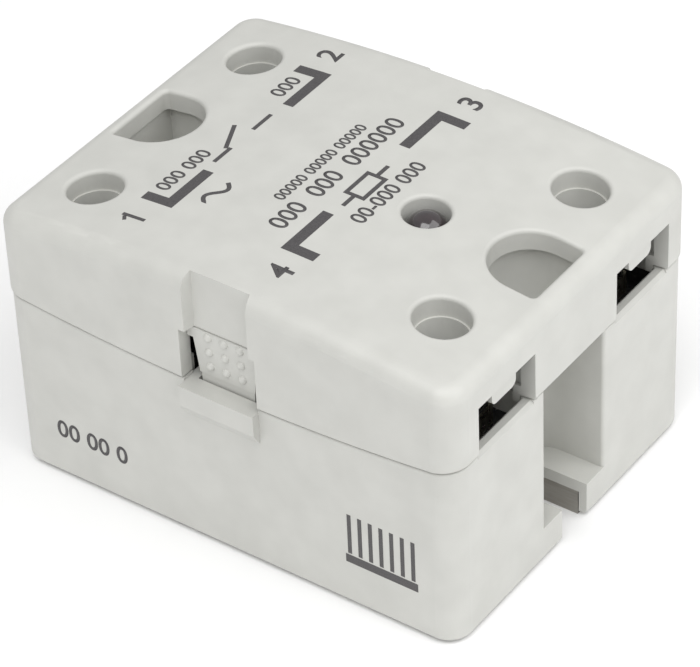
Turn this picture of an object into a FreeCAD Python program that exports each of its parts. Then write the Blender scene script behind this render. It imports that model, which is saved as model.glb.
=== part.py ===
import FreeCAD, Part
import math
import os

# Solid state relay for a heatsink or panel, with screw terminals and a snap-on cover.
#
# Millimetres, +Z up. The origin is under the middle of the metal base plate. +X points to the
# input end (terminals 3 and 4), -X to the output end (terminals 1 and 2), and -Y to the front.
# The casing is the same at both ends and on both long sides, except where a value says otherwise.

# Casing outline
length = 58.4              # over the cover, along X
width = 45.7               # over the cover, along Y
corner_radius = 2.9        # upright corners, seen from above
end_height = 33.7          # top face above the heatsink, at both ends
crown_rise = 2.0           # how much higher the top face is half way along
top_edge_radius = 1.9      # round edge between the top face and the walls
edge_radius = 0.25         # small round on the edges along the joint line
foot_radius = 0.4          # small round on the bottom edge of the plastic

# Joint line between cover and base: level at the ends, dipping towards the middle
parting_end_z = 23.65
parting_dip = 1.75
parting_gap = 0.2          # dark line between cover and base
base_step = 0.2            # the base stands this far inside the cover's outline

# Walls
cover_wall = 1.8
cover_roof = 2.5
base_wall = 1.6
lip_thickness = 0.85       # inner rim of the cover, which drops inside the base wall
lip_clearance = 0.15
lip_depth = 1.0
lip_root = 1.2             # height of the thick band that carries the lip
rest_size = 1.9            # corner posts on which the cover stands
rest_z = 21.9

# Metal base plate and the plastic floor over it
plate_thickness = 3.2
plate_proud = 0.5          # plate below the plastic, so that metal meets the heatsink
plate_inset = 1.3          # plate inside the cover's outline
plate_gap = 0.1
floor_thickness = 1.5
floor_ledge = 2.4          # floor inside the walls, round the opening for the substrate

# Fixing wells, one at each end
fixing_pitch = 47.6
well_radius = 5.75
well_wall = 1.5
mouth_radius = 0.4         # round upright edges where a well opens through the end wall
fixing_hole_radius = 2.45  # clears an M4 screw, through the plate and the floor above it
window_radius = 4.8        # round side of the D-shaped opening in the top
window_centre_x = 23.95
window_flat_x = 27.1
window_corner_radius = 0.6
rim_radius = 0.45          # round edge of the openings in the top

# Screw terminals
output_terminal_x = 21.9
output_terminal_y = 14.2
input_terminal_x = 21.45
input_terminal_y = 13.0
access_radius = 3.1
guide_radius = 2.9
guide_wall = 1.2
guide_end_gap = 0.7        # left under the guide with the screw fully open
block_size_x = 7.0
block_size_y = 7.4
block_top_z = 22.6
washer_size = 7.0
washer_thickness = 1.2
washer_corner = 0.6
washer_hole_clearance = 0.25
thread_radius = 2.0        # M4, drawn plain
thread_clearance = 0.05
screw_length = 8.0
head_radius = 3.4
head_height = 2.8
head_edge_radius = 0.7
recess_width = 1.1
recess_span = 4.2
recess_depth = 1.5
terminal_lift = 2.1        # three turns of a 0.7 mm pitch

# Wire windows in the end walls of the cover
entry_width = 10.4
entry_top_z = 29.7
entry_chamfer = 0.5
tab_width = 4.4
tab_bottom_z = 27.7
tab_recess = 0.4
tab_thickness = 1.1
tab_corner_radius = 0.8

# Latches, one on each long side
channel_mouth = 8.2
channel_floor = 7.6
channel_depth = 1.4
channel_bottom_z = 28.2
latch_window_width = 9.7
latch_window_top_z = 28.35
latch_play = 0.1
latch_top_gap = 0.12
latch_backing = 1.8
tongue_thickness = 1.3
tongue_face_top = 1.25     # depth of the pad's face behind the wall, at its top
tongue_face_bottom = 1.5
tongue_bottom_z = 22.4
tongue_head_z = 26.9       # the full-width head ends here and the slits begin
pad_width_top = 8.0
pad_width_bottom = 7.1
stem_width = 6.8
stem_bottom_z = 18.6
stem_thickness = 1.2
barb_reach = 0.85
barb_top_z = 20.2
barb_lead = 0.7
bump_radius = 0.55
bump_height = 0.4
bump_pitch_x = 2.05
bump_pitch_z = 1.93
bump_middle_z = 25.63
lug_width = 9.6
lug_proud = 1.0            # beyond the base wall
lug_top_z = 21.4
lug_bottom_z = 18.8
lug_slope = 1.6            # height over which the lug runs back into the wall
catch_top_z = 20.4         # underside of the lip that holds the barb
catch_depth = 0.8
pocket_width = 7.6
pocket_reach = 2.8
pocket_bottom_z = 18.1
pocket_wall = 1.2
lip_relief = 0.35          # lip cut back beside the latch pocket

# Power stage on the base plate
substrate_size_x = 30.0
substrate_size_y = 34.0
substrate_thickness = 0.64
pad_thickness = 0.3
pad_gap = 1.0
pad_margin = 1.0
chip_size = 7.0
chip_thickness = 0.4
chip_y = 7.0

# Control board and what stands on it
board_size_x = 28.8
board_size_y = 34.6
board_thickness = 1.6
board_bottom_z = 11.6
pin_radius = 0.4
pin_x = 6.5
pin_places = (-12.0, -6.0, 6.0, 12.0)
opto_size = (6.4, 8.8, 3.5)
opto_x = 3.0
capacitor_size = (5.5, 13.0, 5.4)
capacitor_x = -8.0
resistor_radius = 1.2
resistor_length = 6.4
resistor_lead_radius = 0.3
resistor_lead_span = 9.6
resistor_places = ((-1.5, 11.5), (2.5, 11.5), (-1.5, -11.5), (2.5, -11.5))

# Copper leads from the terminals
lead_thickness = 0.8
output_lead_width = 5.0
input_lead_width = 3.0
output_foot_x = 11.0       # distance of the foot's inner end from the middle
output_riser_x = 14.9
input_lead_end_x = 11.5

# Indicator
led_x = 10.75
led_hole_radius = 2.62
led_collar_wall = 1.0
led_collar_depth = 1.2
led_radius = 2.45
led_top_below = 0.3        # dome below the top face
led_body_height = 3.8
led_flange_radius = 2.9
led_flange_height = 1.0
led_lead_radius = 0.25
led_lead_pitch = 2.54

potting_top_z = 19.8

overcut = 1.0              # how far a cutting tool runs past a face
no_size = 1e-6             # below this a length counts as nothing

# Values worked out from those above
half_length = length / 2
half_width = width / 2
well_x = fixing_pitch / 2
parting_middle_z = parting_end_z - parting_dip
top_middle_z = end_height + crown_rise
floor_top_z = plate_thickness + floor_thickness
board_top_z = board_bottom_z + board_thickness
block_bottom_z = board_top_z + lead_thickness
head_bottom_z = block_top_z + washer_thickness
head_top_z = head_bottom_z + head_height
guide_bottom_z = head_top_z + terminal_lift + guide_end_gap
substrate_top_z = plate_thickness + substrate_thickness
pads_top_z = substrate_top_z + pad_thickness
crown_radius = (half_length ** 2 + crown_rise ** 2) / (2 * crown_rise)
led_surface_z = top_middle_z - crown_radius + math.sqrt(crown_radius ** 2 - led_x ** 2)
led_top_z = led_surface_z - led_top_below
led_bottom_z = led_top_z - led_radius - led_body_height
terminals = {
    1: (-output_terminal_x, -output_terminal_y),
    2: (-output_terminal_x, output_terminal_y),
    3: (input_terminal_x, input_terminal_y),
    4: (input_terminal_x, -input_terminal_y),
}


def around(middle, size):
    """Lower and upper limit of a size centred on a place."""
    return (middle - size / 2, middle + size / 2)


def box(x_limits, y_limits, z_limits):
    """Box between three pairs of limits."""
    sizes = [limits[1] - limits[0] for limits in (x_limits, y_limits, z_limits)]
    return Part.makeBox(*sizes, FreeCAD.Vector(x_limits[0], y_limits[0], z_limits[0]))


def disc(radius, z_limits, x=0.0, y=0.0):
    """Upright cylinder."""
    return Part.makeCylinder(radius, z_limits[1] - z_limits[0], FreeCAD.Vector(x, y, z_limits[0]))


def is_upright(edge):
    """True for a straight edge along Z."""
    return edge.BoundBox.XLength + edge.BoundBox.YLength < no_size


def stands_at(edge, place):
    """True for an upright edge at a place in plan, or at one of its mirror images."""
    middle = edge.BoundBox.Center
    off = max(abs(abs(middle.x) - place[0]), abs(abs(middle.y) - place[1]))
    return is_upright(edge) and off < no_size


def rounded_block(size_x, size_y, radius, z_limits):
    """Block about the origin with round upright corners."""
    block = box(around(0, size_x), around(0, size_y), z_limits)
    return block.makeFillet(radius, [edge for edge in block.Edges if is_upright(edge)])


def inset_block(inset, z_limits):
    """The casing's outline moved inwards and extruded."""
    radius = max(corner_radius - inset, edge_radius)
    return rounded_block(length - 2 * inset, width - 2 * inset, radius, z_limits)


def prism(points, direction):
    """Closed polygon extruded along a vector."""
    corners = [FreeCAD.Vector(*point) for point in points]
    outline = Part.makePolygon(corners + corners[:1])
    return Part.Face(outline).extrude(FreeCAD.Vector(*direction))


def prism_along_x(outline, x_limits):
    """Polygon of (y, z) points extruded along X."""
    points = [(x_limits[0], y, z) for y, z in outline]
    return prism(points, (x_limits[1] - x_limits[0], 0, 0))


def prism_along_y(outline, y_limits):
    """Polygon of (x, z) points extruded along Y."""
    points = [(x, y_limits[0], z) for x, z in outline]
    return prism(points, (0, y_limits[1] - y_limits[0], 0))


def prism_along_z(outline, z_limits):
    """Polygon of (x, y) points extruded along Z."""
    points = [(x, y, z_limits[0]) for x, y in outline]
    return prism(points, (0, 0, z_limits[1] - z_limits[0]))


def drum(end_z, middle_z):
    """Cylinder along Y whose face passes end_z at both ends of the casing and middle_z half way."""
    rise = middle_z - end_z
    radius = (half_length ** 2 + rise ** 2) / (2 * abs(rise))
    centre = FreeCAD.Vector(0, -width, middle_z - math.copysign(radius, rise))
    return Part.makeCylinder(radius, 2 * width, centre, FreeCAD.Vector(0, 1, 0))


def crown_drum(depth=0.0):
    """Space under the top face, moved down by a depth."""
    return drum(end_height - depth, top_middle_z - depth)


def parting_drum(shift=0.0):
    """Space above the joint line, moved up by a shift."""
    return drum(parting_end_z + shift, parting_middle_z + shift)


def other_side(shape):
    """The same shape on the opposite long side."""
    return shape.mirror(FreeCAD.Vector(0, 0, 0), FreeCAD.Vector(0, 1, 0))


def other_end(shape):
    """The same shape at the opposite end."""
    return shape.mirror(FreeCAD.Vector(0, 0, 0), FreeCAD.Vector(1, 0, 0))


def both_sides(shape):
    return [shape, other_side(shape)]


def both_ends(shape):
    return [shape, other_end(shape)]


def all_corners(shape):
    return [copy for side in both_sides(shape) for copy in both_ends(side)]


def round_outline(shape, radius, z_test):
    """Round the outer edges of a casing half that pass a test on their height."""
    edges = []
    for edge in shape.Edges:
        if not is_upright(edge) and z_test(edge.BoundBox.Center.z):
            edges.append(edge)
    return shape.makeFillet(radius, edges)


def well(radius, z_limits):
    """U-shaped space at the input end, round towards the middle and open at the end."""
    run = box((well_x, half_length + overcut), around(0, 2 * radius), z_limits)
    return disc(radius, z_limits, well_x).fuse(run)


def well_walls(z_limits):
    """U-shaped wall round the fixing well at the input end."""
    outer = well(well_radius + well_wall, z_limits)
    return outer.cut(well(well_radius, (z_limits[0] - overcut, z_limits[1] + overcut)))


def top_window(z_limits):
    """D-shaped opening over the fixing well at the input end."""
    flat = box((window_centre_x, window_flat_x), around(0, 2 * window_radius), z_limits)
    outer = [edge for edge in flat.Edges if is_upright(edge) and edge.BoundBox.XMin > window_centre_x]
    inner_half = box((0, window_centre_x), around(0, 2 * window_radius), z_limits)
    inner_half = disc(window_radius, z_limits, window_centre_x).common(inner_half)
    return inner_half.fuse(flat.makeFillet(window_corner_radius, outer)).removeSplitter()


def front_y(depth):
    """Y of a plane that lies this deep behind the cover's front wall."""
    return depth - half_width


def depths(near, far):
    """Y limits of a slab between two depths behind the cover's front wall."""
    return (front_y(near), front_y(far))


def corner_post(inset, z_limits):
    """Square post in the inner corner at the input end and front."""
    x_limits = (half_length - inset - rest_size, half_length - inset)
    y_limits = (inset - half_width, inset + rest_size - half_width)
    return box(x_limits, y_limits, z_limits)


def make_base_plate():
    """Metal plate that carries the power stage: a round hole at one end, an open slot at the other."""
    plate = inset_block(plate_inset, (0, plate_thickness))
    through = (-overcut, plate_thickness + overcut)
    slot = box((well_x, half_length), around(0, 2 * fixing_hole_radius), through)
    holes = both_ends(disc(fixing_hole_radius, through, well_x))
    return plate.cut(holes + [slot]).removeSplitter()


def make_catch_body():
    """Lug on the front wall of the base and the pocket block behind it, before hollowing."""
    out = front_y(base_step - lug_proud)
    back = front_y(base_step + overcut)
    lug_outline = [
        (back, lug_top_z),
        (out, lug_top_z),
        (out, lug_bottom_z),
        (front_y(base_step), lug_bottom_z - lug_slope),
        (back, lug_bottom_z - lug_slope),
    ]
    lug = prism_along_x(lug_outline, around(0, lug_width))
    inner = channel_depth + pocket_reach + pocket_wall
    block_y = depths(base_step + overcut, inner)
    block_x = around(0, pocket_width + 2 * pocket_wall)
    block = box(block_x, block_y, (pocket_bottom_z - pocket_wall, lug_top_z))
    return lug.fuse(block)


def make_catch_space():
    """Space that the front latch's stem and barb need inside the base."""
    across = around(0, pocket_width)
    slot = box(across, depths(channel_depth, channel_depth + pocket_reach), (pocket_bottom_z, end_height))
    undercut = box(across, depths(channel_depth - catch_depth, channel_depth + overcut),
                   (pocket_bottom_z, catch_top_z))
    ledge = box(around(0, lug_width), depths(-overcut, channel_depth + overcut), (lug_top_z, end_height))
    return [slot, undercut, ledge]


def make_rim_chamfers(terminal_y):
    """Sloping edges of the base rim under a wire window at the input end, outside and inside."""
    span = around(terminal_y, entry_width)
    rim = parting_end_z - parting_gap
    outer_x = half_length - base_step
    inner_x = outer_x - base_wall
    reach = entry_chamfer + overcut
    sections = []
    for wall_x, away in ((outer_x, 1), (inner_x, -1)):
        beyond = wall_x + away * overcut
        above = rim + overcut
        sections.append([(beyond, rim - reach), (beyond, above), (wall_x - away * reach, above)])
    return [prism_along_y(section, span) for section in sections]


def make_base_housing():
    """Plastic base: walls, floor over the plate, fixing wells, latch catches and corner posts."""
    shell = inset_block(base_step, (plate_proud, end_height))
    shell = shell.cut(parting_drum(-parting_gap))
    shell = round_outline(shell, edge_radius, lambda z: z > block_bottom_z)
    shell = round_outline(shell, foot_radius, lambda z: z < block_bottom_z)
    cavity = inset_block(base_step + base_wall, (floor_top_z, end_height))
    well_levels = (plate_thickness, end_height)
    keep = both_ends(well_walls(well_levels))
    keep += all_corners(corner_post(base_step + base_wall / 2, (plate_thickness, rest_z)))
    catch = make_catch_body()
    inside = inset_block(base_step, (plate_proud, end_height)).cut(parting_drum(-parting_gap))
    body = shell.cut(cavity).fuse([piece.common(inside) for piece in keep] + both_sides(catch))
    plate_space = inset_block(plate_inset - plate_gap, (0, plate_thickness))
    opening_x = 2 * (well_x - well_radius - well_wall - plate_gap)
    opening_y = width - 2 * (base_step + base_wall + floor_ledge)
    opening = box(around(0, opening_x), around(0, opening_y), (0, floor_top_z))
    tools = [plate_space, opening] + both_ends(well(well_radius, (floor_top_z, end_height)))
    through = (0, end_height)
    tools += both_ends(disc(fixing_hole_radius, through, well_x))
    tools += [box((well_x, half_length), around(0, 2 * fixing_hole_radius), through)]
    for space in make_catch_space():
        tools += both_sides(space)
    for chamfer in make_rim_chamfers(input_terminal_y):
        tools += both_sides(chamfer)
    for chamfer in make_rim_chamfers(output_terminal_y):
        tools += both_sides(other_end(chamfer))
    body = body.cut(tools).removeSplitter()
    corner = (half_length - base_step, well_radius)
    return body.makeFillet(mouth_radius, [edge for edge in body.Edges if stands_at(edge, corner)])


def make_cover_skin():
    """Solid outer form of the cover with its openings in the top and their round edges."""
    skin = inset_block(0, (0, top_middle_z + overcut)).common(crown_drum()).common(parting_drum())
    skin = round_outline(skin, top_edge_radius, lambda z: z > entry_top_z)
    skin = round_outline(skin, edge_radius, lambda z: z < entry_top_z)
    deep = (0, top_middle_z + overcut)
    holes = both_ends(top_window(deep)) + [disc(led_hole_radius, deep, led_x)]
    holes += [disc(access_radius, deep, x, y) for x, y in terminals.values()]
    skin = skin.cut(holes)
    rims = []
    for edge in skin.Edges:
        middle = edge.BoundBox.Center
        inside_x = abs(middle.x) < half_length - top_edge_radius
        inside_y = abs(middle.y) < half_width - top_edge_radius
        if not is_upright(edge) and middle.z > entry_top_z and inside_x and inside_y:
            rims.append(edge)
    return skin.makeFillet(rim_radius, rims)


def make_lip():
    """Band inside the cover's lower edge, with the rim that drops inside the base wall."""
    levels = (0, end_height)
    inner = inset_block(cover_wall + lip_clearance + lip_thickness, levels)
    root = inset_block(cover_wall - overcut, levels).cut(inner)
    root = root.common(parting_drum()).cut(parting_drum(lip_root))
    rim = inset_block(cover_wall + lip_clearance, levels).cut(inner)
    rim = rim.common(parting_drum(-lip_depth)).cut(parting_drum(lip_root / 2))
    lip = root.fuse(rim)
    relief = pocket_width + 2 * (pocket_wall + lip_relief)
    gap = box(around(0, relief), (-width, width), levels)
    wells = both_ends(well(well_radius + well_wall + lip_clearance, levels))
    return lip.cut([gap] + wells)


def make_latch_cuts():
    """Channel above the front latch and window round it, both cut in the cover's wall."""
    mouth = channel_mouth / 2
    floor = channel_floor / 2
    outside = front_y(-overcut)
    corners = [(-mouth, outside), (-mouth, front_y(0)), (-floor, front_y(channel_depth)),
               (floor, front_y(channel_depth)), (mouth, front_y(0)), (mouth, outside)]
    channel = prism_along_z(corners, (channel_bottom_z, top_middle_z + overcut))
    deep = depths(-overcut, channel_depth + latch_backing + overcut)
    window = box(around(0, latch_window_width), deep, (0, latch_window_top_z))
    return [channel, window]


def make_entry_window(terminal_y):
    """Opening for a wire in the end wall at the input end."""
    inner_x = half_length - cover_wall - lip_clearance - lip_thickness
    x_limits = (inner_x - overcut / 2, half_length + overcut)
    return box(x_limits, around(terminal_y, entry_width), (0, entry_top_z))


def make_entry_tab(terminal_y):
    """Tab that hangs in the middle of a wire window at the input end."""
    outer_x = half_length - tab_recess
    tab = box((outer_x - tab_thickness, outer_x), around(terminal_y, tab_width),
              (tab_bottom_z, entry_top_z + overcut))
    lower = [edge for edge in tab.Edges
             if edge.BoundBox.XLength > tab_thickness / 2 and edge.BoundBox.ZMax < entry_top_z]
    return tab.makeFillet(tab_corner_radius, lower)


def make_cover():
    """Clip-on cover with its lip, fixing wells, latch openings and wire windows."""
    levels = (0, end_height)
    deep = (0, top_middle_z + overcut)
    under_roof = crown_drum(cover_roof)
    room = inset_block(cover_wall, deep).common(under_roof)
    inside = inset_block(cover_wall / 2, deep).common(crown_drum(cover_roof / 2))
    inner = [piece.common(parting_drum()) for piece in both_ends(well_walls(levels))]
    collar_bottom_z = led_surface_z - cover_roof - led_collar_depth
    inner += [disc(led_hole_radius + led_collar_wall, (collar_bottom_z, end_height), led_x)]
    backing_x = around(0, channel_mouth + 2 * latch_backing)
    backing_y = depths(cover_wall / 2, channel_depth + latch_backing)
    inner += both_sides(box(backing_x, backing_y, (latch_window_top_z, end_height)))
    lip_room = inset_block(cover_wall + lip_clearance, deep)
    inner += all_corners(corner_post(cover_wall + lip_clearance, (rest_z, end_height)).common(lip_room))
    body = make_cover_skin().cut(room).fuse([piece.common(inside) for piece in inner] + [make_lip()])

    tools = [disc(access_radius, deep, x, y) for x, y in terminals.values()]
    tools += [disc(led_hole_radius, deep, led_x)]
    tools += both_ends(top_window(deep).cut(under_roof)) + both_ends(well(well_radius, deep).common(room))
    for cut in make_latch_cuts():
        tools += both_sides(cut)
    tools += both_sides(make_entry_window(input_terminal_y))
    tools += both_sides(other_end(make_entry_window(output_terminal_y)))
    tabs = both_sides(make_entry_tab(input_terminal_y))
    tabs += both_sides(other_end(make_entry_tab(output_terminal_y)))
    return body.cut(tools).fuse(tabs).removeSplitter()


def make_screw_guide(number):
    """Short tube under the roof that leads a screwdriver onto a terminal screw."""
    x, y = terminals[number]
    levels = (guide_bottom_z, end_height)
    tube = disc(guide_radius + guide_wall, levels, x, y).cut(disc(guide_radius, levels, x, y))
    return tube.common(crown_drum(cover_roof))


def pad_face_depth(z):
    """Depth of the latch pad's sloping face behind the front wall, at a height."""
    top_z = latch_window_top_z - latch_top_gap
    share = (top_z - z) / (top_z - tongue_bottom_z)
    return tongue_face_top + share * (tongue_face_bottom - tongue_face_top)


def make_tongue():
    """Front latch tongue: pad with grip bumps, stem behind the ledge, and barb under the catch."""
    top_z = latch_window_top_z - latch_top_gap
    section = [
        (front_y(tongue_face_top), top_z),
        (front_y(tongue_face_bottom), tongue_bottom_z),
        (front_y(tongue_face_bottom + tongue_thickness), tongue_bottom_z),
        (front_y(tongue_face_top + tongue_thickness), top_z),
    ]
    head = latch_window_width / 2 - latch_play
    upper = pad_width_top / 2
    lower = pad_width_bottom / 2
    outline = [(-head, top_z), (head, top_z), (head, tongue_head_z), (upper, tongue_head_z),
               (lower, tongue_bottom_z), (-lower, tongue_bottom_z), (-upper, tongue_head_z),
               (-head, tongue_head_z)]
    pad = prism_along_x(section, around(0, latch_window_width))
    pad = pad.common(prism_along_y(outline, depths(0, tongue_face_bottom + 2 * tongue_thickness)))
    outer = tongue_face_bottom + tongue_thickness - stem_thickness
    inner = tongue_face_bottom + tongue_thickness
    barb_tip = outer - barb_reach
    stem_outline = [
        (front_y(inner), tongue_bottom_z + tongue_thickness / 2),
        (front_y(outer), tongue_bottom_z + tongue_thickness / 2),
        (front_y(outer), barb_top_z),
        (front_y(barb_tip), barb_top_z),
        (front_y(barb_tip), stem_bottom_z + barb_lead),
        (front_y(outer), stem_bottom_z),
        (front_y(inner), stem_bottom_z),
    ]
    stem = prism_along_x(stem_outline, around(0, stem_width))
    bumps = []
    for column in (-1, 0, 1):
        for row in (-1, 0, 1):
            z = bump_middle_z + row * bump_pitch_z
            y = front_y(pad_face_depth(z) + bump_radius - bump_height)
            bumps.append(Part.makeSphere(bump_radius, FreeCAD.Vector(column * bump_pitch_x, y, z)))
    return pad.fuse([stem] + bumps).removeSplitter()


def make_substrate():
    """Ceramic plate that insulates the power stage from the base plate."""
    levels = (plate_thickness, substrate_top_z)
    return box(around(0, substrate_size_x), around(0, substrate_size_y), levels)


def make_copper_pads():
    """Three copper areas on the ceramic: one per output, and one for the control pins."""
    levels = (substrate_top_z, pads_top_z)
    edge_x = substrate_size_x / 2 - pad_margin
    edge_y = substrate_size_y / 2 - pad_margin
    output_pad = box((-edge_x, pin_x - 2 * pad_gap), (pad_gap / 2, edge_y), levels)
    control_pad = box((pin_x - pad_gap, edge_x), (-edge_y, edge_y), levels)
    return Part.makeCompound(both_sides(output_pad) + [control_pad])


def make_thyristor_chips():
    """Two chips, one on each output pad."""
    levels = (pads_top_z, pads_top_z + chip_thickness)
    chip = box(around(0, chip_size), around(-chip_y, chip_size), levels)
    return Part.makeCompound(both_sides(chip))


def make_board():
    """Control board over the power stage."""
    return box(around(0, board_size_x), around(0, board_size_y), (board_bottom_z, board_top_z))


def make_board_pins():
    """Pins that carry the control signals from the board down to the ceramic."""
    levels = (pads_top_z, board_bottom_z)
    return Part.makeCompound([disc(pin_radius, levels, pin_x, y) for y in pin_places])


def make_on_board(size, x):
    """Box-shaped component standing on the board."""
    return box(around(x, size[0]), around(0, size[1]), (board_top_z, board_top_z + size[2]))


def make_resistor(x, y):
    """Axial resistor lying along Y over the board, with its bent leads."""
    axis_z = board_top_z + resistor_radius
    along = FreeCAD.Vector(0, 1, 0)
    start = FreeCAD.Vector(x, y - resistor_length / 2, axis_z)
    body = Part.makeCylinder(resistor_radius, resistor_length, start, along)
    lead_start = FreeCAD.Vector(x, y - resistor_lead_span / 2, axis_z)
    wire = Part.makeCylinder(resistor_lead_radius, resistor_lead_span, lead_start, along)
    bends = []
    for end_y in around(y, resistor_lead_span):
        bends.append(Part.makeSphere(resistor_lead_radius, FreeCAD.Vector(x, end_y, axis_z)))
        bends.append(disc(resistor_lead_radius, (board_top_z, axis_z), x, end_y))
    return body.fuse([wire] + bends).removeSplitter()


def make_resistors():
    return Part.makeCompound([make_resistor(x, y) for x, y in resistor_places])


def make_output_lead(number):
    """Copper strap from a pad on the ceramic up to an output terminal block."""
    x, y = terminals[number]
    outer_x = x - block_size_x / 2
    under_z = block_bottom_z - lead_thickness
    outline = [
        (-output_foot_x, pads_top_z),
        (-output_riser_x - lead_thickness, pads_top_z),
        (-output_riser_x - lead_thickness, under_z),
        (outer_x, under_z),
        (outer_x, block_bottom_z),
        (-output_riser_x, block_bottom_z),
        (-output_riser_x, pads_top_z + lead_thickness),
        (-output_foot_x, pads_top_z + lead_thickness),
    ]
    return prism_along_y(outline, around(y, output_lead_width))


def make_input_lead(number):
    """Copper strap from the board's edge to an input terminal block."""
    x, y = terminals[number]
    reach = (input_lead_end_x, x + block_size_x / 2)
    return box(reach, around(y, input_lead_width), (board_top_z, block_bottom_z))


def make_terminal_block(number):
    """Threaded brass block, with the thread drawn as a plain bore."""
    x, y = terminals[number]
    levels = (block_bottom_z, block_top_z)
    block = box(around(x, block_size_x), around(y, block_size_y), levels)
    return block.cut(disc(thread_radius + thread_clearance, levels, x, y))


def make_washer(number):
    """Square clamping washer with its corners taken off."""
    x, y = terminals[number]
    levels = (block_top_z, head_bottom_z)
    plate = box(around(x, washer_size), around(y, washer_size), levels)
    plate = plate.makeChamfer(washer_corner, [edge for edge in plate.Edges if is_upright(edge)])
    return plate.cut(disc(thread_radius + washer_hole_clearance, levels, x, y))


def make_screw(number):
    """Terminal screw: pan head with a slot and cross, shank drawn plain."""
    x, y = terminals[number]
    head = disc(head_radius, (head_bottom_z, head_top_z), x, y)
    top = [edge for edge in head.Edges if edge.BoundBox.ZMin > head_bottom_z + head_height / 2]
    head = head.makeFillet(head_edge_radius, top)
    shank = disc(thread_radius, (head_bottom_z - screw_length, head_top_z - recess_depth), x, y)
    recess = (head_top_z - recess_depth, head_top_z + overcut)
    slot = box(around(x, 2 * head_radius + overcut), around(y, recess_width), recess)
    cross = box(around(x, recess_width), around(y, recess_span), recess)
    return head.fuse(shank).cut([slot, cross]).removeSplitter()


def make_led_lens():
    """Indicator lens: round body with a domed top and a small flange."""
    neck_z = led_top_z - led_radius
    body = disc(led_radius, (led_bottom_z, neck_z), led_x)
    dome = Part.makeSphere(led_radius, FreeCAD.Vector(led_x, 0, neck_z))
    flange = disc(led_flange_radius, (led_bottom_z, led_bottom_z + led_flange_height), led_x)
    return body.fuse([dome, flange]).removeSplitter()


def make_led_leads():
    """Two wire leads from the board up to the indicator."""
    levels = (board_top_z, led_bottom_z)
    leads = [disc(led_lead_radius, levels, led_x, side * led_lead_pitch / 2) for side in (-1, 1)]
    return Part.makeCompound(leads)


def make_potting(housing, embedded):
    """Casting compound that fills the base round everything that stands in it."""
    fill = inset_block(base_step + base_wall, (plate_thickness, potting_top_z))
    empty = both_ends(well(well_radius + well_wall / 2, (0, end_height)))
    for space in make_catch_space():
        empty += both_sides(space)
    return fill.cut(empty + [housing] + embedded)


def make_parts():
    """Every node of the relay, by name."""
    housing = make_base_housing()
    cast_in = {
        "ceramic_substrate": make_substrate(),
        "copper_pads": make_copper_pads(),
        "thyristor_chips": make_thyristor_chips(),
        "control_board": make_board(),
        "board_pins": make_board_pins(),
        "optocoupler": make_on_board(opto_size, opto_x),
        "snubber_capacitor": make_on_board(capacitor_size, capacitor_x),
        "resistors": make_resistors(),
        "led_leads": make_led_leads(),
    }
    for number in terminals:
        cast_in[f"terminal_block_{number}"] = make_terminal_block(number)
    for number in (1, 2):
        cast_in[f"output_lead_{number}"] = make_output_lead(number)
    for number in (3, 4):
        cast_in[f"input_lead_{number}"] = make_input_lead(number)
    guides = {f"screw_guide_{number}": make_screw_guide(number) for number in terminals}
    screws = {f"terminal_screw_{number}": make_screw(number) for number in terminals}
    washers = {f"clamp_washer_{number}": make_washer(number) for number in terminals}
    bores = [disc(thread_radius + thread_clearance, (block_bottom_z, block_top_z), x, y)
             for x, y in terminals.values()]
    tongue = make_tongue()
    parts = {
        "base_plate": make_base_plate(),
        "base_housing": housing,
        "potting_compound": make_potting(housing, list(cast_in.values()) + bores),
        "led_lens": make_led_lens(),
        "cover": make_cover(),
        "latch_tongue_front": tongue,
        "latch_tongue_rear": other_side(tongue),
    }
    return {**parts, **guides, **cast_in, **washers, **screws}


os.makedirs("parts", exist_ok=True)
for name, shape in make_parts().items():
    shape.exportStep(f"parts/{name}.step")
    print(f"{name:22s} solids {len(shape.Solids)}  valid {shape.isValid()}  volume {shape.Volume:9.2f}")
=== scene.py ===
# %% [markdown]
# # A solid state relay
#
# The casing, the latches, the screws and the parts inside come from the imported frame. They are
# already the right shape and size, so this lesson gives them their surfaces and adds what is
# printed on them. Everything is in metres, in the frame's own coordinates: +X points to the input
# end, -Y to the front latch and +Z up from the heatsink.

# %% Load the frame
import math

import bmesh
import bpy
from mathutils import Matrix, Vector
from mathutils.bvhtree import BVHTree


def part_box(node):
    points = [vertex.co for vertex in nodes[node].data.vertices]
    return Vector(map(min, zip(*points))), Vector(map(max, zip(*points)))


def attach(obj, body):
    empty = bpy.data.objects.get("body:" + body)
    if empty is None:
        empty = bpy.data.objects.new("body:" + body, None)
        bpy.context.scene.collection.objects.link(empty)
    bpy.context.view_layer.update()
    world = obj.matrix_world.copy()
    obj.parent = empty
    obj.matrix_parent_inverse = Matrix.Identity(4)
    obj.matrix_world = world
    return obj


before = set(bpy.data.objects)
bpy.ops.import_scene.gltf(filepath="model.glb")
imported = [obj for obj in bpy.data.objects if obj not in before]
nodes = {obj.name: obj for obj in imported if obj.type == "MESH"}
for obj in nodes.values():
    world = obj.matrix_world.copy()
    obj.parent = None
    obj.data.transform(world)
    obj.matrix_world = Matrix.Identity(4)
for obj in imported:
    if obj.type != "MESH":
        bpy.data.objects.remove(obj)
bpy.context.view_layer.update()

MM = 0.001
cover_low, cover_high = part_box("cover")
base_low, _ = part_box("base_housing")
print("cover from", [round(v / MM, 1) for v in cover_low], "to", [round(v / MM, 1) for v in cover_high])

# %% [markdown]
# ## Colours and shader nodes
#
# Colours are written the way a designer reads them off a screen, as sRGB hex. A shader works in
# linear light, so one function turns them. A second function adds any node, sets its options and
# joins its inputs, so that each material below reads as a short list of steps.

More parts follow.
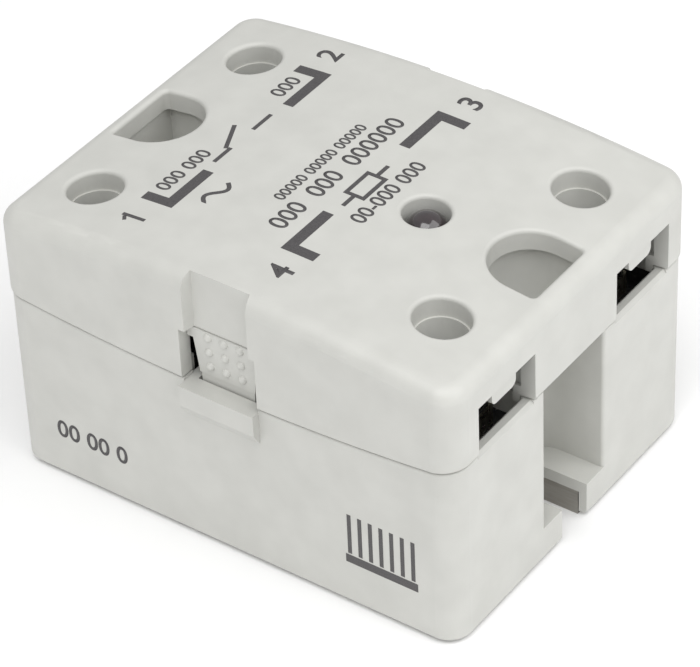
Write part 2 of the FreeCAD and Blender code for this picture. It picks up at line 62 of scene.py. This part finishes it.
# %% Colour and node helpers
def ink(code):
    """Linear colour with alpha 1 from an sRGB hex code."""
    parts = [int(code[start:start + 2], 16) / 255 for start in (1, 3, 5)]
    linear = [v / 12.92 if v <= 0.04045 else ((v + 0.055) / 1.055) ** 2.4 for v in parts]
    return (*linear, 1.0)


def add(tree, kind, settings=None, **inputs):
    """Adds a node. Settings are its options. An input is a value, or an output to link from."""
    node = tree.nodes.new(kind)
    for name, value in (settings or {}).items():
        setattr(node, name, value)
    for name, value in inputs.items():
        socket = node.inputs[name.replace("_", " ")]
        if isinstance(value, bpy.types.NodeSocket):
            tree.links.new(value, socket)
        else:
            socket.default_value = value
    return node


def finish_named(name, colour, roughness, metallic=0.0, **sockets):
    """New material with a Principled shader; returns the material, its tree and the shader."""
    material = bpy.data.materials.new(name)
    material.use_nodes = True
    tree = material.node_tree
    shader = tree.nodes["Principled BSDF"]
    shader.inputs["Base Color"].default_value = ink(colour)
    shader.inputs["Roughness"].default_value = roughness
    shader.inputs["Metallic"].default_value = metallic
    for socket, value in sockets.items():
        shader.inputs[socket.replace("_", " ")].default_value = value
    return material, tree, shader


def place(tree):
    """Position on the piece in metres, which doesn't slide when the piece moves."""
    return add(tree, "ShaderNodeTexCoord").outputs["Object"]


def speckle(tree, size, detail=2.0, seed=0.0):
    """Noise whose blotches are about this size, in metres, moved to its own place by a seed."""
    moved = add(tree, "ShaderNodeMapping", Vector=place(tree), Location=(seed, seed / 3, seed / 7))
    return add(tree, "ShaderNodeTexNoise", Vector=moved.outputs["Vector"], Scale=1 / size, Detail=detail)


def spread(tree, source, low, high):
    """Turns a noise, which mostly lies between 0.3 and 0.7, into a range of values."""
    limits = {"From Min": 0.3, "From Max": 0.7, "To Min": low, "To Max": high}
    node = add(tree, "ShaderNodeMapRange", {"clamp": True}, Value=source.outputs[0])
    for name, value in limits.items():
        node.inputs[name].default_value = value
    return node.outputs["Result"]


def tint(tree, factor, first, second):
    """Colour that runs between two hex codes."""
    mix = add(tree, "ShaderNodeMix", {"data_type": "RGBA"})
    tree.links.new(factor, mix.inputs["Factor"])
    colour_a, colour_b = [socket for socket in mix.inputs if socket.type == "RGBA"]
    colour_a.default_value = ink(first)
    colour_b.default_value = ink(second)
    return [socket for socket in mix.outputs if socket.type == "RGBA"][0]


def raise_surface(tree, shader, height, distance, strength=1.0):
    """Small relief from a height between 0 and 1, this many metres deep."""
    bump = add(tree, "ShaderNodeBump", Height=height, Distance=distance, Strength=strength)
    tree.links.new(bump.outputs["Normal"], shader.inputs["Normal"])


# %% [markdown]
# ## Moulded casing plastic
#
# The cover, the latches and the base are one glass-filled polyester moulding material, in a light
# warm grey. The steel mould was spark-eroded, so the skin has an even, fine grain that breaks a
# highlight into a soft glow. Such a grain is only about 0.05 mm wide. It is drawn at 0.22 mm here,
# so that it shows at all, and it is very shallow. Slow changes of gloss come from the melt as it
# cools, and a faint change of colour keeps large faces from looking like paper.

# %% Casing plastic
def make_casing_plastic():
    material, tree, shader = finish_named("moulded_grey_polyester", "#C7C7C2", 0.46, IOR=1.54)
    grain = speckle(tree, 0.22 * MM, 3.0)
    flow = speckle(tree, 9 * MM, 2.0, 0.4)
    cloud = speckle(tree, 4 * MM, 2.0, 0.9)
    tree.links.new(spread(tree, flow, 0.40, 0.54), shader.inputs["Roughness"])
    shade = tint(tree, spread(tree, cloud, 0.0, 1.0), "#C4C4BF", "#CACAC5")
    tree.links.new(shade, shader.inputs["Base Color"])
    raise_surface(tree, shader, grain.outputs[0], 0.012 * MM, 0.5)
    return material


casing_plastic = make_casing_plastic()
print("made", casing_plastic.name)

# %% [markdown]
# ## Metals
#
# The base plate is rolled copper alloy with a dull nickel plate. Rolling leaves fine straight lines
# along its length, so its noise is stretched along X. The screws and washers are zinc-plated steel,
# headed and thread-rolled cold, so they are smooth with a slight mottle. Their zinc is painted
# darker than it is, as painted shade for the dim inside of the screw holes. The terminal blocks
# are sawn from brass bar and nickel plated, and the leads are punched from bare copper sheet, which
# darkens unevenly where flux has been. A metal's colour is its reflection, so metallic is 1 and
# only the roughness and the tint move.

# %% Metal finishes
def make_metal(name, light, dark, rough_low, rough_high, mottle, stretch=(1, 1, 1), relief=0.004):
    """Plated or bare metal with an uneven gloss; stretch draws the pattern out along an axis."""
    material, tree, shader = finish_named(name, light, rough_low, 1.0)
    drawn = add(tree, "ShaderNodeMapping", Vector=place(tree), Scale=stretch)
    noise = add(tree, "ShaderNodeTexNoise", Vector=drawn.outputs["Vector"], Scale=1 / mottle, Detail=4.0)
    tree.links.new(spread(tree, noise, rough_low, rough_high), shader.inputs["Roughness"])
    tree.links.new(tint(tree, spread(tree, noise, 0.0, 1.0), dark, light), shader.inputs["Base Color"])
    raise_surface(tree, shader, noise.outputs[0], relief * MM, 0.6)
    return material


ROLLED = (0.15, 1, 1)
rolled_nickel = make_metal("dull_nickel_plate", "#A09D97", "#8E8B85", 0.30, 0.42, 0.45 * MM, ROLLED)
# Zinc tint set darker than real zinc: painted shade for the screw heads deep in their holes.
zinc_steel = make_metal("zinc_steel_painted_hole_shade", "#8F8E8B", "#7C7B79", 0.22, 0.36, 0.9 * MM)
nickel_brass = make_metal("nickel_plated_brass", "#CFCBBD", "#BDB7A4", 0.24, 0.36, 0.8 * MM)
bare_copper = make_metal("punched_copper", "#C98A66", "#A8694A", 0.28, 0.46, 1.4 * MM)
tinned_wire = make_metal("tinned_wire", "#CFCECB", "#BFBEBB", 0.20, 0.32, 0.5 * MM)
print("five metal finishes made")

# %% [markdown]
# ## Casting compound and parts inside
#
# The base is filled with black epoxy, poured warm. It levels to a glossy surface with a slight
# orange peel and the odd dull patch. The parts cast into it are hidden, but each still gets the
# finish it has: fired alumina, silicon, green solder mask, black moulding compound, a yellow film
# capacitor and lacquered resistors. They differ only in a few numbers, so one function makes them.

# %% Coatings and mouldings inside
def make_coating(name, light, dark, rough_low, rough_high, size, relief, **sockets):
    """Opaque non-metal with a mottled colour and gloss, and a relief in millimetres."""
    material, tree, shader = finish_named(name, light, rough_low, 0.0, **sockets)
    noise = speckle(tree, size * MM, 3.0)
    tree.links.new(spread(tree, noise, rough_low, rough_high), shader.inputs["Roughness"])
    tree.links.new(tint(tree, spread(tree, noise, 0.0, 1.0), dark, light), shader.inputs["Base Color"])
    raise_surface(tree, shader, noise.outputs[0], relief * MM, 0.7)
    return material


black_epoxy = make_coating("cast_black_epoxy", "#1D1C1E", "#141315", 0.14, 0.34, 2.6, 0.05, IOR=1.55)
fired_alumina = make_coating("fired_alumina", "#EEEDE8", "#E3E2DC", 0.50, 0.62, 0.6, 0.01, IOR=1.76)
silicon = make_coating("passivated_silicon", "#4A4C55", "#3C3E48", 0.12, 0.20, 1.5, 0.002, IOR=1.5)
solder_mask = make_coating("green_solder_mask", "#2C5A3A", "#234A30", 0.26, 0.38, 1.8, 0.01)
black_moulding = make_coating("black_moulding_compound", "#2A2A2B", "#202021", 0.44, 0.58, 0.4, 0.01)
film_yellow = make_coating("yellow_film_case", "#C7A13C", "#BA9433", 0.34, 0.46, 1.2, 0.01)
resistor_lacquer = make_coating("tan_resistor_lacquer", "#C4A27C", "#B6936C", 0.24, 0.36, 0.7, 0.02)
print("seven coatings and mouldings made")

# %% [markdown]
# ## The smoked indicator
#
# The lens is clear epoxy dyed almost black, so that it looks dead when it is off. It could be true
# glass with a dark absorption, but at this size the eye sees a dark body under a hard gloss, which
# is a dark base with a clear coat. A little transmission lets the rim pick up its surroundings.

# %% Smoked lens
def make_smoked_lens():
    material, tree, shader = finish_named(
        "smoked_epoxy_lens", "#332B2E", 0.16, IOR=1.56, Coat_Weight=1.0, Coat_Roughness=0.04,
        Transmission_Weight=0.2,
    )
    haze = speckle(tree, 1.1 * MM, 2.0)
    shade = tint(tree, spread(tree, haze, 0.0, 1.0), "#2C2528", "#3D3336")
    tree.links.new(shade, shader.inputs["Base Color"])
    return material


smoked_lens = make_smoked_lens()
print("made", smoked_lens.name)

# %% [markdown]
# ## Hand the finishes to the frame's parts
#
# A part's shape stays exactly as it is. Only the material in its slot is set.

# %% Give each part its finish
finish_of = {
    "cover": casing_plastic,
    "base_housing": casing_plastic,
    "latch_tongue": casing_plastic,
    "screw_guide": casing_plastic,
    "base_plate": rolled_nickel,
    "potting_compound": black_epoxy,
    "led_lens": smoked_lens,
    "led_leads": tinned_wire,
    "board_pins": tinned_wire,
    "ceramic_substrate": fired_alumina,
    "copper_pads": bare_copper,
    "output_lead": bare_copper,
    "input_lead": bare_copper,
    "thyristor_chips": silicon,
    "control_board": solder_mask,
    "optocoupler": black_moulding,
    "snubber_capacitor": film_yellow,
    "resistors": resistor_lacquer,
    "terminal_block": nickel_brass,
    "clamp_washer": zinc_steel,
    "terminal_screw": zinc_steel,
}


def coat(piece, material):
    """Puts one material on a piece, in place of what it had."""
    piece.data.materials.clear()
    piece.data.materials.append(material)


for name, node in nodes.items():
    family = max((key for key in finish_of if name.startswith(key)), key=len)
    coat(node, finish_of[family])
print(len(nodes), "parts have a finish")

# %% [markdown]
# ## Pad printing
#
# The legend is pad printed: a soft pad lays a film of dark grey ink on the finished moulding, and
# on a domed top it follows the curve. The flat way would be a painted texture, but then the edge of
# a letter is only as sharp as the texture. Here each mark is a very thin slab of ink. It is drawn
# flat, cut into strips, and each corner is dropped onto the surface below it.
#
# Legends on the real casing name a maker, ratings and approvals. Only what any relay could carry
# is printed here: numbers at the terminals, corner marks that lead to them, and plain symbols.

# %% Printing ink
def make_printing_ink():
    material, tree, shader = finish_named("pad_printing_ink", "#454344", 0.5, IOR=1.5)
    pinholes = speckle(tree, 0.12 * MM, 4.0)
    shade = tint(tree, spread(tree, pinholes, 0.0, 1.0), "#403E3F", "#565455")
    tree.links.new(shade, shader.inputs["Base Color"])
    raise_surface(tree, shader, pinholes.outputs[0], 0.006 * MM, 0.6)
    return material


printing_ink = make_printing_ink()
print("made", printing_ink.name)

# %% [markdown]
# A mark is drawn on a flat sheet first, with its own across and up directions. On the top face the
# legend reads along +Y, so across is +Y and up is -X. On the front wall across is +X and up is +Z.
# A ray from outside the casing then finds the plastic under each corner of the ink.

# %% Lay a flat drawing on a surface
INK_THICKNESS = 0.02 * MM
INK_SINK = 0.01 * MM
STRIP = 0.6 * MM
START_AWAY = 10 * MM


def surface_of(node):
    """Search tree over a part's own mesh."""
    mesh = node.data
    corners = [v.co.copy() for v in mesh.vertices]
    return BVHTree.FromPolygons(corners, [p.vertices[:] for p in mesh.polygons])


class PrintSide:
    """A face that takes print: where it is, which way a line of print runs, and the part below."""

    def __init__(self, node, body, across, up, outward, level):
        self.skin = surface_of(nodes[node])
        self.body = body
        self.across = Vector(across)
        self.up = Vector(up)
        self.outward = Vector(outward)
        self.level = level

    def lay(self, bm, origin):
        """Moves a flat drawing to its place, and bends it onto the surface."""
        bmesh.ops.recalc_face_normals(bm, faces=bm.faces)
        if sum(face.normal.z * face.calc_area() for face in bm.faces) < 0:
            bmesh.ops.reverse_faces(bm, faces=bm.faces)
        lower, upper = drawing_limits(bm)
        strip = lower + STRIP
        while strip < upper:
            geometry = bm.verts[:] + bm.edges[:] + bm.faces[:]
            bmesh.ops.bisect_plane(bm, geom=geometry, plane_co=(0, strip, 0), plane_no=(0, 1, 0))
            strip += STRIP
        whole = bm.faces[:]
        made = bmesh.ops.extrude_face_region(bm, geom=whole, use_keep_orig=True)
        bmesh.ops.reverse_faces(bm, faces=whole)
        top = {item for item in made["geom"] if isinstance(item, bmesh.types.BMVert)}
        for corner in bm.verts:
            flat = Vector(origin) + self.across * corner.co.x + self.up * corner.co.y
            start = flat + self.outward * (self.level + START_AWAY - flat.dot(self.outward))
            hit = self.skin.ray_cast(start, -self.outward)[0]
            height = INK_THICKNESS if corner in top else -INK_SINK
            corner.co = hit + self.outward * height
        bmesh.ops.recalc_face_normals(bm, faces=bm.faces)


def drawing_limits(bm):
    """Lowest and highest point of a flat drawing."""
    heights = [corner.co.y for corner in bm.verts]
    return min(heights), max(heights)


top_side = PrintSide("cover", "snap_cover", (0, 1, 0), (-1, 0, 0), (0, 0, 1), cover_high.z)
front_side = PrintSide("base_housing", "casing", (1, 0, 0), (0, 0, 1), (0, -1, 0), -base_low.y)
print("two sides ready for print")


def print_on(side, name, bm, origin):
    """Turns a flat drawing into a slab of ink on a casing face."""
    side.lay(bm, origin)
    mesh = bpy.data.meshes.new(name)
    bm.to_mesh(mesh)
    bm.free()
    piece = bpy.data.objects.new(name, mesh)
    bpy.context.scene.collection.objects.link(piece)
    coat(piece, printing_ink)
    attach(piece, side.body)


# %% [markdown]
# ## Ways to draw a mark
#
# A straight stroke is a one-face grid, stretched and turned into place. A bent stroke is one edge
# extruded from corner to corner, with each corner cut on its half angle, so that no two faces lie
# on each other. A wave is made the same way along a curve. Numbers come from Blender's own plain
# typeface, as a text object that is made a mesh.

# %% Drawing tools
CAP_SHARE = 0.72             # height of a figure in the plain typeface, as a share of its size
MERGE_DISTANCE = 0.002 * MM
FLAG_TOP, FLAG_LOW = 0.72, 0.4    # where the flag of a 1 starts and ends, as shares of half its height
FLAG_REACH = 0.3             # how far the flag comes forward, as a share of the height
FLAG_WEIGHT = 0.9


def add_stroke(bm, start, end, weight):
    """Straight stroke of a given weight between two points, with square ends."""
    first, last = Vector((*start, 0)), Vector((*end, 0))
    run = last - first
    turn = Matrix.Rotation(math.atan2(run.y, run.x), 4, "Z")
    size = Matrix.Diagonal((run.length / 2 + weight / 2, weight / 2, 1, 1))
    middle = Matrix.Translation((first + last) / 2)
    bmesh.ops.create_grid(bm, x_segments=1, y_segments=1, size=1, matrix=middle @ turn @ size)


def add_wave(bm, middle, span, height, weight, steps=24):
    """One period of a sine wave, made by extruding an upright edge along it."""
    left = Vector((*middle, 0)) - Vector((span / 2, 0, 0))
    ends = [bm.verts.new(left + Vector((0, side * weight / 2, 0))) for side in (-1, 1)]
    edge = bm.edges.new(ends)
    for step in range(1, steps + 1):
        made = bmesh.ops.extrude_edge_only(bm, edges=[edge])["geom"]
        edge = next(item for item in made if isinstance(item, bmesh.types.BMEdge))
        angle = 2 * math.pi * step / steps
        slope = math.atan(2 * math.pi * height / span * math.cos(angle))
        centre = left + Vector((span * step / steps, height * math.sin(angle), 0))
        reach = Vector((-math.sin(slope), math.cos(slope), 0)) * weight / 2
        low, high = sorted(edge.verts, key=lambda v: v.co.y)
        low.co = centre - reach
        high.co = centre + reach


def add_path(bm, points, weight, closed=False):
    """Stroke with mitred corners: an edge is extruded from point to point."""
    line = [Vector((*point, 0)) for point in points]
    rims = []
    for index, point in enumerate(line):
        before = line[index - 1] if closed or index > 0 else None
        after = line[(index + 1) % len(line)] if closed or index < len(line) - 1 else None
        run_in = (point - before).normalized() if before else (after - point).normalized()
        run_out = (after - point).normalized() if after else run_in
        across = Vector((-run_in.y - run_out.y, run_in.x + run_out.x, 0)).normalized()
        reach = across * weight / 2 / across.dot(Vector((-run_in.y, run_in.x, 0)))
        rims.append((point - reach, point + reach))
    edge = bm.edges.new([bm.verts.new(corner) for corner in rims[0]])
    first, keep = edge, edge.verts[0]
    for low, high in rims[1:] + rims[:1] * closed:
        made = bmesh.ops.extrude_edge_only(bm, edges=[edge])["geom"]
        edge = next(item for item in made if isinstance(item, bmesh.types.BMEdge))
        reached = [link.other_vert(keep) for link in keep.link_edges]
        side = next(corner for corner in reached if corner in edge.verts)
        side.co = low
        edge.other_vert(side).co = high
        keep = side
    if closed:
        bmesh.ops.remove_doubles(bm, verts=list(first.verts) + list(edge.verts), dist=weight / 100)


def digit_one(height, weight):
    """Flat drawing of a figure 1 with a flag, which the plain typeface lacks."""
    half = height / 2
    bm = bmesh.new()
    add_path(bm, [(0, -half), (0, half)], weight)
    flag = [(-weight / 2, half * FLAG_TOP), (-height * FLAG_REACH, half * FLAG_LOW)]
    add_path(bm, flag, weight * FLAG_WEIGHT)
    return bm


def number_drawing(text, height, weight):
    """Flat drawing of a number, centred on the origin, with its strokes thickened a little."""
    curve = bpy.data.curves.new("number", "FONT")
    curve.body = text
    curve.size = height / CAP_SHARE
    curve.offset = weight
    curve.align_x = "CENTER"
    curve.resolution_u = 6
    writer = bpy.data.objects.new("number", curve)
    bpy.context.scene.collection.objects.link(writer)
    bpy.context.view_layer.update()
    mesh = bpy.data.meshes.new_from_object(writer)
    bpy.data.objects.remove(writer)
    bm = bmesh.new()
    bm.from_mesh(mesh)
    bpy.data.meshes.remove(mesh)
    bmesh.ops.remove_doubles(bm, verts=bm.verts, dist=MERGE_DISTANCE)
    low, high = drawing_limits(bm)
    bmesh.ops.translate(bm, vec=(0, -(low + high) / 2, 0), verts=bm.verts)
    return bm


# %% [markdown]
# ## Corner marks and numbers on the top
#
# Each terminal has a heavy L-shaped mark. Its short leg points to the end of the casing and its
# long leg to the middle, and the number stands outside its corner. All four come from one list.

# %% Terminal legend
MARK_WEIGHT = 1.35 * MM
NUMBER_HEIGHT = 2.9 * MM
NUMBER_BOLD = 0.06 * MM
DIGIT_WEIGHT = 0.46 * MM

# corner of the mark, end of the leg along X, end of the leg along Y, place of the number
terminal_marks = {
    "1": ((-12.75, -13.05), -16.15, -6.35, (-14.6, -16.9)),
    "2": ((-12.75, 14.55), -16.3, 7.95, (-14.6, 18.4)),
    "3": ((2.55, 14.7), 6.1, 7.95, (4.1, 18.4)),
    "4": ((2.55, -12.85), 5.95, -5.95, (4.1, -16.7)),
}


def on_top(x, y):
    """A place on the top face, given in millimetres, as across and up on the sheet."""
    return (y * MM, -x * MM)


for number, (corner, leg_x, leg_y, spot) in terminal_marks.items():
    drawing = bmesh.new()
    bend = [on_top(leg_x, corner[1]), on_top(*corner), on_top(corner[0], leg_y)]
    add_path(drawing, bend, MARK_WEIGHT)
    print_on(top_side, f"corner_mark_{number}", drawing, (0, 0, 0))
    if number == "1":
        figure = digit_one(NUMBER_HEIGHT, DIGIT_WEIGHT)
    else:
        figure = number_drawing(number, NUMBER_HEIGHT, NUMBER_BOLD)
    print_on(top_side, f"terminal_number_{number}", figure, Vector((spot[0] * MM, spot[1] * MM, 0)))

print("terminal legend printed")

# %% [markdown]
# ## Circuit symbols
#
# Between the marks run the symbols that any wiring diagram uses: an open contact on the output
# side, a coil box on the input side, and a wave for alternating current beside the contact.

# %% Circuit symbols on the top
LINE_WEIGHT = 0.5 * MM
OUTPUT_LINE_X = -13.3
INPUT_LINE_X = 3.1
CONTACT_WIRES = ((-4.4, -1.9), (2.6, 5.4))         # start and end along Y
CONTACT_BLADE = ((-0.55, -1.75), (-2.2, 1.9))      # offset from the line and place along Y
COIL_HALF_X = 1.1
COIL_HALF_Y = 2.0
COIL_WIRE_START = COIL_HALF_Y + 0.5
COIL_WIRE_END = 3.9
WAVE_SPAN = 4.2 * MM
WAVE_HEIGHT = 0.75 * MM


def print_contact():
    """Open contact between the marks of terminals 1 and 2."""
    drawing = bmesh.new()
    for start_y, end_y in CONTACT_WIRES:
        add_stroke(drawing, on_top(OUTPUT_LINE_X, start_y), on_top(OUTPUT_LINE_X, end_y), LINE_WEIGHT)
    print_on(top_side, "contact_symbol_ends", drawing, (0, 0, 0))
    blade = bmesh.new()
    hinge, tip = [on_top(OUTPUT_LINE_X + offset, y) for offset, y in CONTACT_BLADE]
    add_stroke(blade, hinge, tip, LINE_WEIGHT)
    print_on(top_side, "contact_symbol_blade", blade, (0, 0, 0))


def print_coil():
    """Coil box between the marks of terminals 3 and 4."""
    drawing = bmesh.new()
    turns = ((-1, -1), (-1, 1), (1, 1), (1, -1))
    corners = [on_top(INPUT_LINE_X + x * COIL_HALF_X, y * COIL_HALF_Y) for x, y in turns]
    add_path(drawing, corners, LINE_WEIGHT, closed=True)
    for side in (-1, 1):
        near, far = [on_top(INPUT_LINE_X, side * y) for y in (COIL_WIRE_START, COIL_WIRE_END)]
        add_stroke(drawing, near, far, LINE_WEIGHT)
    print_on(top_side, "coil_symbol", drawing, (0, 0, 0))


def print_wave(name, x, y):
    """Wave that stands for alternating current."""
    drawing = bmesh.new()
    add_wave(drawing, (0, 0), WAVE_SPAN, WAVE_HEIGHT, LINE_WEIGHT)
    print_on(top_side, name, drawing, Vector((x * MM, y * MM, 0)))


print_contact()
print_coil()
print_wave("output_wave", -9.6, -9.2)
print("circuit symbols printed")


# %% [markdown]
# ## Ratings
#
# A real legend gives voltages and currents. Rows of noughts stand in for them, so that the print
# has its weight on the top face without claiming any rating.

# %% Rating figures on the top
RATING_BOLD = 0.03 * MM

# text, height, and place of its middle along X and Y, in millimetres
rating_rows = {
    "output_current": ("000 000", 1.8, -15.3, -7.4),
    "output_voltage": ("000", 1.9, -15.2, 10.9),
    "title_row": ("00000 00000 00000", 1.4, -3.4, 1.0),
    "type_row": ("000  000  000000", 2.3, -0.8, 0.4),
    "input_voltage": ("00-000 000", 1.9, 5.7, 0.4),
}


def print_ratings():
    for name, (text, height, x, y) in rating_rows.items():
        figures = number_drawing(text, height * MM, RATING_BOLD)
        print_on(top_side, f"figures_{name}", figures, Vector((x * MM, y * MM, 0)))


print_ratings()
print(len(rating_rows), "rows of figures printed")

# %% [markdown]
# ## Marks on the front wall
#
# The front of the base carries a short row of plain figures at one end and a heatsink symbol at
# the other: a bar with fins, which says that the plate below wants a cool flat surface.

# %% Front legend
FIGURE_HEIGHT = 2.3 * MM
FIGURE_BOLD = 0.05 * MM
FIGURE_PLACE = Vector((-18.4, 0, 6.9)) * MM
BAR_Z = 6.6 * MM
BAR_WEIGHT = 1.1 * MM
FIN_LEFT = 15.8 * MM
FIN_PITCH = 1.33 * MM
FIN_COUNT = 7
FIN_GAP = 1.0 * MM
FIN_TOP = 12.4 * MM


def print_front_marks():
    figures = number_drawing("00 00 0", FIGURE_HEIGHT, FIGURE_BOLD)
    print_on(front_side, "front_figures", figures, FIGURE_PLACE)
    drawing = bmesh.new()
    right = FIN_LEFT + (FIN_COUNT - 1) * FIN_PITCH
    add_stroke(drawing, (FIN_LEFT, BAR_Z), (right, BAR_Z), BAR_WEIGHT)
    for index in range(FIN_COUNT):
        x = FIN_LEFT + index * FIN_PITCH
        add_stroke(drawing, (x, BAR_Z + FIN_GAP), (x, FIN_TOP), LINE_WEIGHT)
    print_on(front_side, "heatsink_symbol", drawing, (0, 0, 0))


print_front_marks()
print("front legend printed")

# %% [markdown]
# ## Camera
#
# The camera is placed by turning: so far round from the front, so far up, and so far away from a
# point on the casing, with a slight tilt. A long lens from about 39 cm keeps the edges of the box
# nearly parallel. The lens length is the field of view at that distance, on a 36 mm wide sensor.

# %% Camera
CAMERA_AZIMUTH = 36.70
CAMERA_ELEVATION = 38.41
CAMERA_ROLL = -2.594
CAMERA_DISTANCE = 388.46 * MM
CAMERA_TARGET = Vector((4.189, -5.388, 20.0)) * MM
CAMERA_LENS = 187.99
SENSOR_WIDTH = 36.0


def direction(azimuth, elevation):
    """Unit vector from the object: 0 degrees is the front, and 90 the input end."""
    turn, rise = math.radians(azimuth), math.radians(elevation)
    return Vector((math.sin(turn) * math.cos(rise), -math.cos(turn) * math.cos(rise), math.sin(rise)))


def make_camera():
    back = direction(CAMERA_AZIMUTH, CAMERA_ELEVATION)
    data = bpy.data.cameras.new("camera")
    data.lens = CAMERA_LENS
    data.sensor_width = SENSOR_WIDTH
    data.sensor_fit = "HORIZONTAL"
    data.clip_start = 0.01
    camera = bpy.data.objects.new("camera", data)
    bpy.context.scene.collection.objects.link(camera)
    facing = back.to_track_quat("Z", "Y").to_matrix().to_4x4()
    roll = Matrix.Rotation(math.radians(CAMERA_ROLL), 4, "Z")
    camera.matrix_world = Matrix.Translation(CAMERA_TARGET + back * CAMERA_DISTANCE) @ facing @ roll
    bpy.context.scene.camera = camera


make_camera()
print("camera placed")

# %% [markdown]
# ## Studio
#
# The casing stands on a plain pale floor in soft light. A bright room gives most of the light. A
# near panel high on the input side lights that end of the top more than the other, and a far one
# high in front gives the rounded edges their soft highlight.

# %% Floor and light
FLOOR_HALF = 3.0
ROOM_LIGHT = 0.55

# azimuth and elevation in degrees, distance and width in metres, watts
panels = {
    "end_panel": (100, 48, 0.35, 0.3, 0.50),
    "front_panel": (15, 60, 1.3, 0.9, 8.2),
}


def make_floor():
    bm = bmesh.new()
    bmesh.ops.create_grid(bm, x_segments=1, y_segments=1, size=FLOOR_HALF)
    mesh = bpy.data.meshes.new("floor")
    bm.to_mesh(mesh)
    bm.free()
    floor = bpy.data.objects.new("floor", mesh)
    bpy.context.scene.collection.objects.link(floor)
    material, _, _ = finish_named("pale_floor", "#FCFCFC", 0.9)
    coat(floor, material)


def make_panel(name, azimuth, elevation, distance, size, watts):
    """Soft square light that faces the object."""
    data = bpy.data.lights.new(name, "AREA")
    data.shape = "SQUARE"
    data.size = size
    data.energy = watts
    panel = bpy.data.objects.new(name, data)
    bpy.context.scene.collection.objects.link(panel)
    back = direction(azimuth, elevation)
    facing = back.to_track_quat("Z", "Y").to_matrix().to_4x4()
    panel.matrix_world = Matrix.Translation(back * distance) @ facing


def make_studio():
    make_floor()
    world = bpy.data.worlds.new("studio")
    world.use_nodes = True
    world.node_tree.nodes["Background"].inputs["Color"].default_value = (1, 1, 1, 1)
    world.node_tree.nodes["Background"].inputs["Strength"].default_value = ROOM_LIGHT
    bpy.context.scene.world = world
    for name, placing in panels.items():
        make_panel(name, *placing)
    bpy.context.scene.view_settings.view_transform = "Standard"


make_studio()
print("floor, room light and", len(panels), "panels placed")
